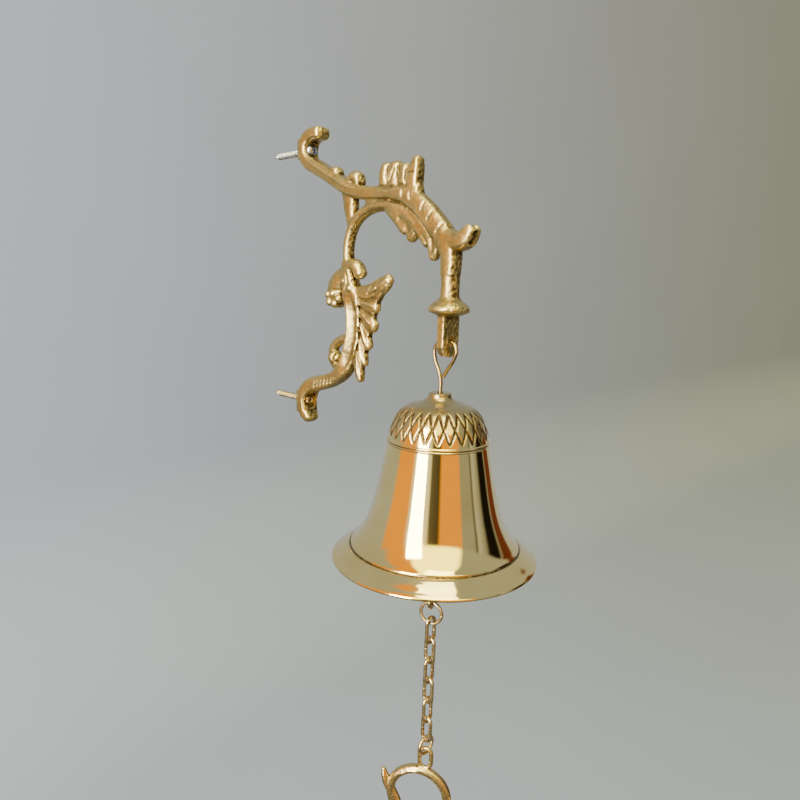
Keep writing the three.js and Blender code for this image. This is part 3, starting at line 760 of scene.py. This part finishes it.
LATTICE_CELLS = 26
CELL_SEGMENTS = 18
LATTICE_TOP = 55.4  # height above the rim
LATTICE_FOOT = 45.6
CUT_DEPTH = 0.4
CUT_HALF = 0.62
DARK_LINES = [(18.1, 43.55, 0.2), (30.7, 5.28, 0.5)]  # in the ring and above the lip: radius, height, reach
POLISHED_INSIDE = 8  # rows of the inner wall that are polished like the outside

# Outer wall from the neck down to the lip, as (radius, height above the rim), in smooth stretches.
NECK_LINE = [(1.1, 60.6), (3.8, 60.6), (4.05, 60.4), (4.06, 60), (4.3, 59.2), (4.8, 58.5), (5.7, 57.9),
             (7, 57.4), (9.2, 56.8), (11.5, 55.9), (13.5, 54.5), (15, 52.8), (16.1, 51), (16.9, 49.1),
             (17.5, 47), (17.88, 45.2)]
RING_LINE = [(17.88, 45.2), (17.92, 44.75), (18.02, 44.5), (18.26, 44.4), (18.42, 44.15), (18.38, 43.85),
             (18.2, 43.72), (18.1, 43.55), (18.16, 43.38), (18.3, 43.2), (18.26, 42.95), (18.24, 42.6)]
WAIST_LINE = [(18.24, 42.6), (18.95, 38.6), (19.85, 34), (20.8, 29), (21.85, 24), (23.15, 18.8),
              (24.95, 13.7), (27.4, 9.3), (29.1, 7.15), (30.4, 5.95)]
LIP_LINE = [(30.4, 5.95), (30.48, 5.62), (30.62, 5.32), (30.9, 5.14), (31.3, 5.06), (31.75, 4.85),
            (32.6, 4.3), (33.9, 3.4), (35.4, 2.25), (36.7, 1.35), (37.1, 0.95), (37.18, 0.5), (37, 0.15),
            (36.6, 0)]
INNER_LINE = [(36.6, 0), (35.6, 0.1), (33.8, 1.0), (31.4, 2.5), (28, 5.4), (25.3, 8.6), (22.7, 13.2),
              (20.8, 19), (19.4, 25.6), (18.1, 32.6), (16.9, 39.6), (15.4, 46.6), (13, 51), (9.2, 53.6),
              (4, 54.2), (1.1, 54.2)]


def bell_profile():
    """The whole closed profile, and how many of its rows belong to the outer wall."""
    stretches = [spline(NECK_LINE, 8), spline(RING_LINE, 3), spline(WAIST_LINE, 8), spline(LIP_LINE, 4)]
    outer = np.vstack([s[:-1] for s in stretches])
    inner = spline(INNER_LINE, 4)
    return np.vstack([outer, inner]), len(outer)


def lattice_depth(height, angle, radius):
    """Depth of the crossing cuts on the shoulder, as millimetres, over rows of height and angle."""
    t = (LATTICE_TOP - height) / (LATTICE_TOP - LATTICE_FOOT)
    cell = 2 * np.pi * radius / LATTICE_CELLS
    slant = 1 / np.sqrt(1 + (cell / 12.0) ** 2)
    depth = np.zeros(np.broadcast(height, angle).shape)
    turn = LATTICE_CELLS * angle / (2 * np.pi)
    taper = np.clip(np.minimum(t + 0.05, 1.05 - t) * 7, 0, 1)
    for phase in (turn - t, turn + t):
        off = np.abs(phase - np.round(phase)) * cell * slant
        v_cut = np.clip(1 - off / CUT_HALF, 0, 1)
        depth = np.maximum(depth, CUT_DEPTH * v_cut * taper)
    return depth


def bell(materials):
    profile, outer = bell_profile()
    segments = LATTICE_CELLS * CELL_SEGMENTS
    angle = np.linspace(0, 2 * np.pi, segments, endpoint=False)
    slope = np.gradient(profile, axis=0)
    slope /= np.linalg.norm(slope, axis=1)[:, None]
    out_r, out_h = -slope[:, 1], slope[:, 0]
    radius, height = profile[:, :1], profile[:, 1:]
    depth = lattice_depth(height, angle[None], radius)
    depth[outer:] = 0
    depth[height[:, 0] > LATTICE_TOP + 1] = 0
    depth[height[:, 0] < LATTICE_FOOT - 1] = 0
    r = radius - depth * out_r[:, None]
    h = height - depth * out_h[:, None]
    rings = np.stack([r * np.cos(angle), -BELL_OUT + r * np.sin(angle), RIM_Z + h], 2)
    obj = Skins().add(rings, closed=True).build("bell_turned_shell")
    on_outside = (np.arange(len(height)) < outer)[:, None]
    cut = np.clip(3.2 * depth / CUT_DEPTH - 0.25, 0, 1)
    for line_r, line_h, reach in DARK_LINES:
        near = np.hypot(height[:, 0] - line_h, radius[:, 0] - line_r)
        cut = np.maximum(cut, np.clip(1.3 - near / reach, 0, 1)[:, None] * on_outside)
    store(obj, "cut", cut.ravel())
    crown = np.clip((height - LATTICE_FOOT) / (LATTICE_TOP - LATTICE_FOOT), 0, 1) * on_outside
    store(obj, "satin", np.broadcast_to(crown, cut.shape).ravel())
    rows = np.arange(len(obj.data.polygons)) // segments
    finished(obj, "bell", materials, "bell_shell")
    obj.data.polygons.foreach_set("material_index", (rows >= outer + POLISHED_INSIDE).astype(np.int32))
    obj.data.update()


# ---------------- wire pieces

HOOK_WIRE_R = 0.68
HOOK_LOOP = [(82.55, -89.1), (84.3, -86.6), (87.2, -82.6), (88.1, -79.4), (86.9, -77.2), (85, -76.6),
             (83.4, -76.6), (82.2, -76.6), (79.6, -77.5), (78.1, -80), (78.6, -83.6), (80.4, -87.2),
             (81.5, -90.6), (81.5, -94), (81.5, -98), (81.5, -101.6)]
HOOK_EYE = (81.5, -104.9, 2.5)  # out, z and radius
CHAIN_WIRE_R = 0.7
RING_WIRE_R = 0.65
RING_HALF_WIDTH = 4.15
RING_TURN = -68
LINK_HALF_WIDTH = 2.0
LINK_SIDES = 18
SEAM_GAP = 0.16


def hook(material):
    """One bent wire: open tip, loop through the tab, shank through the crown, and the eye inside."""
    out, z, radius = HOOK_EYE
    turn = np.radians(np.arange(75, -236, -31))
    eye = [(out + radius * math.cos(a), z + radius * math.sin(a)) for a in turn]
    rings = swept(spline(HOOK_LOOP + eye, 14), HOOK_WIRE_R, HOOK_WIRE_R, sides=20, bulge=0.35)
    obj = Skins().add(bracket_plane(rings)).build("bell_hook_wire")
    finished(obj, "hook", material, "bell_hook")


def stadium(half, height, count=96):
    """A closed path of two half turns and two straights, starting in the middle of one straight."""
    straight = max(height - 2 * half, 0.0)
    lap = straight + math.pi * half
    along = np.linspace(0, lap, count // 2, endpoint=False)
    turn = np.clip((along - straight / 2) / half, 0, math.pi)
    rise = np.minimum(along, straight / 2) - np.maximum(along - lap + straight / 2, 0)
    side = np.column_stack([half * np.cos(turn), rise + half * np.sin(turn)])
    return np.vstack([side, -side]) - [0, straight / 2 + half]


def link(node, radius, half, turn, material):
    """A wire link that hangs where its CAD node does, with its slanted seam on one side."""
    low, high = box_mm(node)
    height = high[2] - low[2] - 2 * radius
    path = stadium(half, height)
    rings = swept(path, radius, radius, sides=LINK_SIDES, closed=True)
    place = turned_plane(turn, high[2] - radius)
    obj = Skins().add(place(rings), closed=True).build(node + "_wire")
    seam_at = place(np.array([[(half, -height / 2, 0.0)]]))[0, 0]
    co = points_of(obj)
    centre = place(np.column_stack([path, np.zeros(len(path))])[:, None, :])[:, 0]
    owner = np.repeat(np.arange(len(path)), LINK_SIDES)
    slant = (co - seam_at) @ turned_axes(turn)
    off = np.abs(slant[:, 1] - 0.55 * slant[:, 2])
    near = (np.linalg.norm(co - seam_at, axis=1) < 3 * radius) * np.clip(1 - off / SEAM_GAP, 0, 1)
    move_points(obj, co + (centre[owner] - co) * (0.45 * near)[:, None])
    finished(obj, node, material, node)


# ---------------- clapper

CLAPPER_EYE_R = 2.4
CLAPPER_EYE_WIRE_R = 0.8
CLAPPER_ROD_R = 1.1
BALL_R = 6.2


def clapper(wire_material, ball_material):
    low, high = box_mm("clapper_rod")
    top = high[2] - CLAPPER_EYE_WIRE_R
    tail = low[2] + CLAPPER_EYE_WIRE_R
    eye = 2 * CLAPPER_EYE_R
    skins = Skins()
    for turn, eye_top in ((90, top), (RING_TURN + 90, tail + eye)):
        rings = swept(stadium(CLAPPER_EYE_R, eye), CLAPPER_EYE_WIRE_R, CLAPPER_EYE_WIRE_R, closed=True)
        skins.add(turned_plane(turn, eye_top)(rings), closed=True)
    foot, head = tail + eye, top - eye
    rod = [(0.05, foot - 0.4), (0.85, foot - 0.4), (CLAPPER_ROD_R, foot + 1.6), (CLAPPER_ROD_R, head - 1.6),
           (0.85, head + 0.4), (0.05, head + 0.4)]
    skins.lathe(rod, segments=24, closed=False)
    obj = skins.build("clapper_forged_rod")
    fused(obj, 0.16, smooth=2)
    store_wear_and_shade(obj, 0.01)
    finished(obj, "clapper", wire_material, "clapper_rod")

    low, high = box_mm("clapper_ball")
    centre = (low[2] + high[2]) / 2
    bore = CLAPPER_ROD_R + 0.3
    start = math.asin(bore / BALL_R)
    angle = np.linspace(start, math.pi - start, 90)
    dip = 0.22 * sum(np.exp(-(((np.degrees(angle) - at) / 1.8) ** 2)) for at in (78, 90, 102))
    radius = BALL_R - dip
    profile = np.column_stack([radius * np.sin(angle), centre + radius * np.cos(angle)])
    bore_line = [(bore, z) for z in np.linspace(profile[-1, 1], profile[0, 1], 8)[1:-1]]
    obj = Skins().lathe(np.vstack([profile, bore_line]), segments=96).build("clapper_turned_ball")
    store_wear_and_shade(obj, 0.02)
    finished(obj, "clapper", ball_material, "clapper_ball", sharp=60)


# ---------------- pull

PULL_TURN = -60
PULL_EYE_HEIGHT = 8.4
PULL_EYE_HALF_WIDTH = 2.3
PULL_EYE_WIRE_R = 0.84
PULL_R = 11.4
PULL_BAR_R = 1.7
PULL_SHIFT = -2.25


def pull(material):
    """A cast scroll ring under a tall eye, with a leaf tip on one side and a bud on the other."""
    top = box_mm("pull")[1][2] - 1.0
    centre = -PULL_EYE_HEIGHT - PULL_BAR_R + 0.4 - PULL_R
    place = turned_plane(PULL_TURN, top)
    skins = Skins()
    eye = swept(stadium(PULL_EYE_HALF_WIDTH, PULL_EYE_HEIGHT), PULL_EYE_WIRE_R, PULL_EYE_WIRE_R, closed=True)
    skins.add(place(eye), closed=True)
    turn = np.linspace(0, 2 * np.pi, 120, endpoint=False)
    ring = np.column_stack([PULL_SHIFT + PULL_R * np.sin(turn), centre + PULL_R * np.cos(turn)])
    swell = PULL_BAR_R * (1 + 0.06 * np.cos(turn - 0.4))
    skins.add(place(swept(ring, swell, PULL_BAR_R, power=2.3, closed=True)), closed=True)
    left, right = PULL_SHIFT - PULL_R, PULL_SHIFT + PULL_R
    shapes = [
        [(left + 3, centre - 5, 1.6, 1.5), (left, centre, 2, 1.6),
         (left - 2.2, centre + 4.6, 1.7, 1.4), (left - 3.2, centre + 8.2, 0.9, 0.9)],
        [(right - 3.4, centre - 7, 1.9, 1.6), (right + 0.4, centre - 6.4, 2.9, 2.1),
         (right + 4, centre - 3.6, 2.7, 2.1), (right + 5.8, centre - 0.2, 1.5, 1.3)],
    ]
    for stations in shapes:
        skins.limb(stations, 2.2, place)
    obj = skins.build("pull_cast_ring")
    fused(obj, 0.24, smooth=3)
    flutes = [
        ([(right + 0.6, centre - 8.4), (right + 3.4, centre - 4.6), (right + 5.4, centre - 1)],
         0.6, 0.45, True),
        ([(right - 1, centre - 5.4), (right + 2, centre - 3.4), (right + 4.6, centre - 1)], 0.5, 0.4, True),
        ([(left - 0.6, centre - 1), (left - 2, centre + 3.6), (left - 3, centre + 7)], 0.6, 0.5, True),
        ([(PULL_SHIFT - 8, centre + 8.1), (PULL_SHIFT - 4.2, centre + 10.6), (PULL_SHIFT, centre + PULL_R)],
         0.5, 0.3, True),
    ]
    axes = turned_axes(PULL_TURN)
    home = np.array([0, -BELL_OUT, top])
    move_points(obj, (points_of(obj) - home) @ axes)
    carve(obj, flutes, plane=lambda co: co[:, :2], off_axis=2)
    move_points(obj, points_of(obj) @ axes.T + home)
    roughened(obj, 0.08, 0.04, size=5, seed=9.0)
    store_wear_and_shade(obj, 0.015)
    finished(obj, "pull", material, "pull")


# ---------------- screws

SCREW_HEAD_R = 2.5
SCREW_SHANK_R = 1.4
SCREW_HEAD_LINE = [(0.94, 0), (0.99, 0.12), (1, 0.35), (0.975, 0.7), (0.88, 1.2), (0.72, 1.62), (0.53, 1.92),
                   (0.34, 2.1), (0.16, 2.18), (0.02, SCREW_HEAD_RISE)]  # share of the radius, rise
SCREW_IN_WALL = 22
THREAD_PITCH = 1.2
THREAD_DEPTH = 0.42
THREAD_FROM = 1.2  # how far out from the wall the thread begins
RECESS_LENGTH = 2.8
RECESS_WIDTH = 0.62
SCREW_SIDES = 48


def screw(node, name, material):
    """A round-headed wood screw: domed head with a cross recess, and a coarse thread to its point."""
    z0, seat = SCREW_Z[node], SCREW_SEAT[node]
    turn = np.linspace(0, 2 * np.pi, SCREW_SIDES, endpoint=False)
    rows = []
    for out in np.linspace(-SCREW_IN_WALL, seat, 190):
        taper = np.clip((out + SCREW_IN_WALL) / 5, 0.03, 1)
        phase = (out / THREAD_PITCH - turn / (2 * np.pi)) % 1
        crest = np.clip(1 - np.abs(phase - 0.5) * 4.4, 0, 1) ** 0.7
        depth = THREAD_DEPTH * np.clip((THREAD_FROM - out) / 1.5, 0, 1)
        rows.append((np.full(SCREW_SIDES, out), (SCREW_SHANK_R - depth + depth * crest) * taper))
    for share, rise in SCREW_HEAD_LINE:
        rows.append((np.full(SCREW_SIDES, seat + rise), np.full(SCREW_SIDES, SCREW_HEAD_R * share)))
    rings = np.array([np.column_stack([r * np.cos(turn), -o, z0 + r * np.sin(turn)]) for o, r in rows])
    obj = Skins().add(rings).build(name)
    corners = ((-1, -1), (1, -1), (1, 1), (-1, 1))
    for slot in ((RECESS_LENGTH, RECESS_WIDTH), (RECESS_WIDTH, RECESS_LENGTH)):
        half = np.array(slot) / 2
        rings = [[(sx * w[0], -o, z0 + sz * w[1]) for sx, sz in corners]
                 for w, o in ((half * 0.6, seat + 0.8), (half, seat + 3))]
        cut_by(obj, Skins().add(np.array(rings)).build("cross_cutter"))
    finished(obj, "bracket", material, node, sharp=35)


# ---------------- camera, stage and light

CAMERA_AT = Vector((-170.75, -235.24, -57.64)) * MM
CAMERA_HEADING = 44.49  # degrees from +y towards +x
CAMERA_DOWN = 9.96
CAMERA_ROLL = 1.73
FOCAL_MM = 29.7
SENSOR_MM = 36.0


def camera():
    data = bpy.data.cameras.new("camera")
    data.lens = FOCAL_MM
    data.sensor_width = SENSOR_MM
    data.clip_start = 0.01
    obj = bpy.data.objects.new("camera", data)
    turn = (Matrix.Rotation(math.radians(-CAMERA_HEADING), 4, "Z")
            @ Matrix.Rotation(math.radians(90 - CAMERA_DOWN), 4, "X")
            @ Matrix.Rotation(math.radians(CAMERA_ROLL), 4, "Z"))
    obj.matrix_world = Matrix.Translation(CAMERA_AT) @ turn
    bpy.context.scene.collection.objects.link(obj)
    bpy.context.scene.camera = obj


FLOOR_Z = -560.0
FLOOR_FRONT = -3000.0
FLOOR_HALF_WIDTH = 3200.0
BACKDROP_Y = 620.0
BACKDROP_TOP = 2600.0
PALE_WALL = (0.265, 0.305, 0.45)


def backdrop():
    """A pale floor that curves up into a backdrop."""
    bend = 260.0
    arc = np.radians(np.linspace(0, 90, 25))
    line = [(FLOOR_FRONT, FLOOR_Z)]
    line += [(BACKDROP_Y - bend + bend * math.sin(a), FLOOR_Z + bend - bend * math.cos(a)) for a in arc]
    line += [(BACKDROP_Y, BACKDROP_TOP)]
    verts = [(x * MM, y * MM, z * MM) for y, z in line for x in (-FLOOR_HALF_WIDTH, FLOOR_HALF_WIDTH)]
    faces = [(2 * i, 2 * i + 1, 2 * i + 3, 2 * i + 2) for i in range(len(line) - 1)]
    mesh = bpy.data.meshes.new("backdrop")
    mesh.from_pydata(verts, [], faces)
    mesh.polygons.foreach_set("use_smooth", [True] * len(faces))
    obj = bpy.data.objects.new("backdrop", mesh)
    bpy.context.scene.collection.objects.link(obj)
    paint = Paint("pale_plaster")
    shade = tuple(c * 0.96 for c in PALE_WALL)
    tone = paint.mix(paint.ranged(paint.noise(4, 4), 0.3, 0.7), PALE_WALL, shade)
    texture = paint.bump(paint.noise(160, 4), 0.0006, 0.2)
    mesh.materials.append(paint.done(tone, 0.85, texture, metallic=0.0))
    obj.visible_glossy = False


# Soft surroundings: the bands of colour that the polished bell reflects.
PALE = (0.50, 0.54, 0.58)
GREY = (0.40, 0.42, 0.42)
BLACK = (0.012, 0.010, 0.008)
ORANGE = (1.25, 0.50, 0.0)
BRIGHT = (1.25, 1.2, 1.0)
# The circle at eye level, as (degrees from -y towards -x, colour).
SURROUND = [
    (-180, PALE), (-88, PALE), (-84, (0.16, 0.05, 0.03)), (-70, (0.14, 0.04, 0.025)),
    (-66, (0.30, 0.30, 0.28)), (-62, BLACK), (-46, BLACK), (-40, (0.34, 0.36, 0.36)),
    (-28, (0.62, 0.66, 0.68)), (-24, (0.10, 0.10, 0.10)), (-20, GREY), (0, GREY), (3, ORANGE), (38, ORANGE),
    (43, (0.10, 0.08, 0.05)), (58, (0.16, 0.14, 0.10)), (62, BRIGHT), (95, BRIGHT), (99, ORANGE),
    (132, ORANGE), (138, PALE), (180, PALE),
]
# The same circle, seen well above the horizon.
SURROUND_HIGH = [
    (-180, PALE), (0, (0.46, 0.49, 0.48)), (8, (4.4, 4.1, 1.0)), (80, (4.6, 4.3, 1.2)),
    (88, ORANGE), (120, ORANGE), (132, PALE), (180, PALE),
]
CEILING = (0.66, 0.66, 0.56)
SEEN_WALL = (0.33, 0.355, 0.40)
BRIGHTEST = 5.0  # strength of the world light; the bands, ceiling and ground are stored as shares of it
GROUND = (0.22, 0.21, 0.20)


def surroundings():
    """World light: bands around the horizon, a pale ceiling, and a plain pale colour for the camera."""
    world = bpy.data.worlds.new("studio")
    bpy.context.scene.world = world
    world.use_nodes = True
    world.node_tree.nodes.clear()
    sky = Nodes(world.node_tree)
    split = sky.new("SeparateXYZ")
    sky.link(sky.new("TexCoord").outputs["Generated"], split.inputs[0])
    towards_x = sky.math("MULTIPLY", split.outputs[0], -1.0)
    towards_y = sky.math("MULTIPLY", split.outputs[1], -1.0)
    heading = sky.math("ARCTAN2", towards_x, towards_y)
    around = sky.math("ADD", sky.math("DIVIDE", heading, 2 * math.pi), 0.5)
    height = split.outputs[2]

    def share(tone):
        return tuple(channel / BRIGHTEST for channel in tone)

    def circle(bands):
        ramp = sky.new("ValToRGB")
        sky.link(around, ramp.inputs[0])
        stops = ramp.color_ramp.elements
        stops.remove(stops[1])
        for i, (degrees, tone) in enumerate(bands):
            stop = stops[0] if i == 0 else stops.new(degrees / 360 + 0.5)
            stop.position = degrees / 360 + 0.5
            stop.color = (*share(tone), 1.0)
        return ramp.outputs[0]

    def above(low, high):
        return sky.ranged(height, low, high, shape="SMOOTHSTEP")

    colour = sky.mix(above(0.40, 0.47), circle(SURROUND), circle(SURROUND_HIGH))
    colour = sky.mix(above(0.95, 0.99), colour, share(CEILING))
    colour = sky.mix(above(-0.2, -0.45), colour, share(GROUND))
    seen_or_lit = sky.new("MixShader")
    sky.link(sky.new("LightPath").outputs["Is Camera Ray"], seen_or_lit.inputs[0])
    for slot, tone, strength in ((1, colour, BRIGHTEST), (2, SEEN_WALL, 1.0)):
        background = sky.new("Background")
        sky.set(background.inputs["Color"], tone)
        background.inputs["Strength"].default_value = strength
        sky.link(background.outputs[0], seen_or_lit.inputs[slot])
    sky.link(seen_or_lit.outputs[0], sky.new("OutputWorld").inputs["Surface"])


def softbox(name, heading, height, distance, size, power, colour):
    """An area light aimed at the bell; heading is degrees from -y towards -x."""
    data = bpy.data.lights.new(name, "AREA")
    data.shape = "RECTANGLE"
    data.size, data.size_y = size[0] * MM, size[1] * MM
    data.energy = power
    data.color = colour
    obj = bpy.data.objects.new(name, data)
    aim = Vector((0, -BELL_OUT, RIM_Z / 2)) * MM
    turn = math.radians(heading)
    at = aim + Vector((-math.sin(turn) * distance, -math.cos(turn) * distance, height)) * MM
    obj.location = at
    obj.rotation_euler = (aim - at).to_track_quat("-Z", "Y").to_euler()
    bpy.context.scene.collection.objects.link(obj)


def lights():
    softbox("window", 80, 260, 1250, (520, 1300), 50, (1.0, 0.97, 0.90))
    softbox("overhead", 30, 1500, 420, (700, 700), 9, (1.0, 0.96, 0.66))


# ---------------- everything together

# Wire rings and links, each on the body of its own name, as (name, wire radius, half width, turn).
WIRE_LINKS = [("clapper_ring", RING_WIRE_R, RING_HALF_WIDTH, RING_TURN)]
WIRE_LINKS += [(f"chain_link_{i}", CHAIN_WIRE_R, LINK_HALF_WIDTH, 0 if i % 2 else 90) for i in range(1, 7)]
WIRE_LINKS += [("pull_ring", CHAIN_WIRE_R, 3.45, 0), ("clapper_link", CHAIN_WIRE_R, 2.3, 0)]


def main():
    camera()
    backdrop()
    surroundings()
    lights()
    bracket(cast_brass("cast_brass", (0.54, 0.42, 0.15), (0.45, 0.33, 0.105), (0.07, 0.045, 0.018)))
    bell([polished_brass("polished_brass", (0.95, 0.75, 0.30), (0.055, 0.032, 0.012), (0.52, 0.40, 0.18)),
          rough_inside("bell_inside", (0.42, 0.27, 0.10), (0.16, 0.09, 0.035))])
    wire = wire_brass("brass_wire", (0.74, 0.58, 0.28), (0.44, 0.30, 0.12))
    hook(wire_brass("hook_wire", (0.44, 0.33, 0.14), (0.26, 0.17, 0.06)))
    for node, radius, half, turn in WIRE_LINKS:
        link(node, radius, half, turn, wire)
    clapper(wire, cast_brass("clapper_brass", (0.56, 0.43, 0.16), (0.46, 0.33, 0.11), (0.09, 0.055, 0.02)))
    pull(cast_brass("pull_brass", (0.60, 0.45, 0.17), (0.50, 0.34, 0.12), (0.12, 0.07, 0.02), rough=0.28))
    steel = plated_steel("screw_steel", (0.55, 0.60, 0.66), (0.30, 0.30, 0.32))
    screw("upper_screw", "upper_wood_screw", steel)
    yellow = plated_steel("screw_yellow", (0.70, 0.56, 0.32), (0.34, 0.25, 0.13))
    screw("lower_screw", "lower_wood_screw", yellow)


main()
